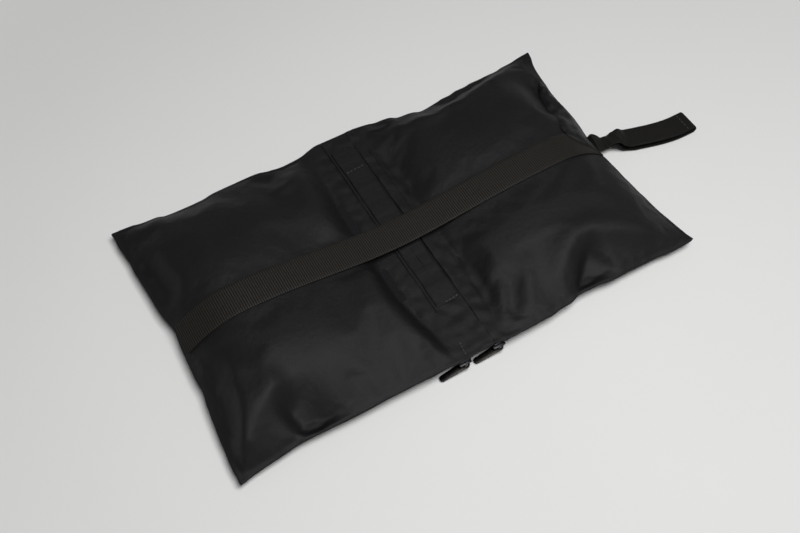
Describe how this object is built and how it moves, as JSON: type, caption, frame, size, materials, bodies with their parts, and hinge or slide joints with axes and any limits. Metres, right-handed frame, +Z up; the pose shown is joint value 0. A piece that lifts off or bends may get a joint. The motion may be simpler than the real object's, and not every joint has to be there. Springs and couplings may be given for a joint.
{
  "type": "sandbag trainer",
  "caption": "Flat saddle-style sandbag with filled pouches either side of a sewn band, a webbing carry strap along its length, a hang loop and zips beneath.",
  "frame": {"origin": "on the surface that the bag lies on, under the middle of its bounding box, which the hang loop lengthens towards +X; the middle of the centre band is 51 mm from it towards -X", "axes": "+X along the bag towards the end with the hang loop, +Y across it to the back, away from the zip pulls, +Z up"},
  "size_m": [0.5642, 0.2776, 0.043],
  "materials": {
    "cover_cloth": "satin",
    "strap_webbing": "matte",
    "band_webbing": "matte",
    "zip_tape": "matte",
    "zip_teeth": "satin",
    "zip_metal": "satin",
    "pull_tab_metal": "satin",
    "liner_film": "satin",
    "sand": "matte"
  },
  "bodies": {
    "saddle": {"band_top_web": "cover_cloth", "band_core": "band_webbing", "band_lower_web": "cover_cloth", "band_strip": "cover_cloth", "zip_left_inner_tape": "zip_tape", "zip_left_outer_tape": "zip_tape", "zip_left_inner_teeth": "zip_teeth", "zip_left_outer_teeth": "zip_teeth", "zip_left_rear_stop": "zip_metal", "zip_right_inner_tape": "zip_tape", "zip_right_outer_tape": "zip_tape", "zip_right_inner_teeth": "zip_teeth", "zip_right_outer_teeth": "zip_teeth", "zip_right_rear_stop": "zip_metal"},
    "left_pouch": {"left_top_panel": "cover_cloth", "left_bottom_panel": "cover_cloth", "left_liner": "liner_film", "left_liner_closure": "band_webbing", "left_sand_fill": "sand", "left_strap_root": "strap_webbing"},
    "right_pouch": {"right_top_panel": "cover_cloth", "right_bottom_panel": "cover_cloth", "right_liner": "liner_film", "right_liner_closure": "band_webbing", "right_sand_fill": "sand", "right_strap_root": "strap_webbing", "hang_loop_root": "strap_webbing"},
    "strap_left": {"strap_left_half": "strap_webbing"},
    "strap_right": {"strap_right_half": "strap_webbing"},
    "hang_loop": {"hang_loop": "strap_webbing"},
    "zip_left_slider": {"zip_left_slider": "zip_metal"},
    "zip_left_pull": {"zip_left_pull_tab": "pull_tab_metal"},
    "zip_right_slider": {"zip_right_slider": "zip_metal"},
    "zip_right_pull": {"zip_right_pull_tab": "pull_tab_metal"}
  },
  "joints": [
    {"name": "left_fold", "type": "hinge", "parent": "saddle", "child": "left_pouch", "pos_m": [-0.07608, 0.00125, 0.02], "axis": [0, 1, 0], "range_deg": [0, 85]},
    {"name": "right_fold", "type": "hinge", "parent": "saddle", "child": "right_pouch", "pos_m": [-0.02608, 0.00125, 0.02], "axis": [0, -1, 0], "range_deg": [0, 85]},
    {"name": "strap_end_bend", "type": "hinge", "parent": "left_pouch", "child": "strap_left", "pos_m": [-0.26231, 0.00125, 0.02477], "axis": [0, -1, 0], "range_deg": [0, 166]},
    {"name": "strap_middle_bend", "type": "hinge", "parent": "strap_left", "child": "strap_right", "pos_m": [-0.05108, 0.00125, 0.0259], "axis": [0, 1, 0], "range_deg": [0, 161]},
    {"name": "hang_loop_lift", "type": "hinge", "parent": "right_pouch", "child": "hang_loop", "pos_m": [0.17308, 0.00425, 0.01275], "axis": [0, 1, 0], "range_deg": [-80, 0]},
    {"name": "zip_left_run", "type": "slide", "parent": "saddle", "child": "zip_left_slider", "axis": [0, 1, 0], "range_m": [0, 0.235]},
    {"name": "zip_left_pull_turn", "type": "hinge", "parent": "zip_left_slider", "child": "zip_left_pull", "pos_m": [-0.06857, -0.13475, 0.0065], "axis": [0, 0, 1], "range_deg": [0, 90]},
    {"name": "zip_right_run", "type": "slide", "parent": "saddle", "child": "zip_right_slider", "axis": [0, 1, 0], "range_m": [0, 0.235]},
    {"name": "zip_right_pull_turn", "type": "hinge", "parent": "zip_right_slider", "child": "zip_right_pull", "pos_m": [-0.03358, -0.13475, 0.0065], "axis": [0, 0, 1], "range_deg": [0, 90]}
  ],
  "couplings": [
    {"joint": "right_fold", "follows": "left_fold", "ratio": 1},
    {"joint": "strap_end_bend", "follows": "left_fold", "ratio": 1.9425},
    {"joint": "strap_middle_bend", "follows": "left_fold", "ratio": 1.885}
  ]
}
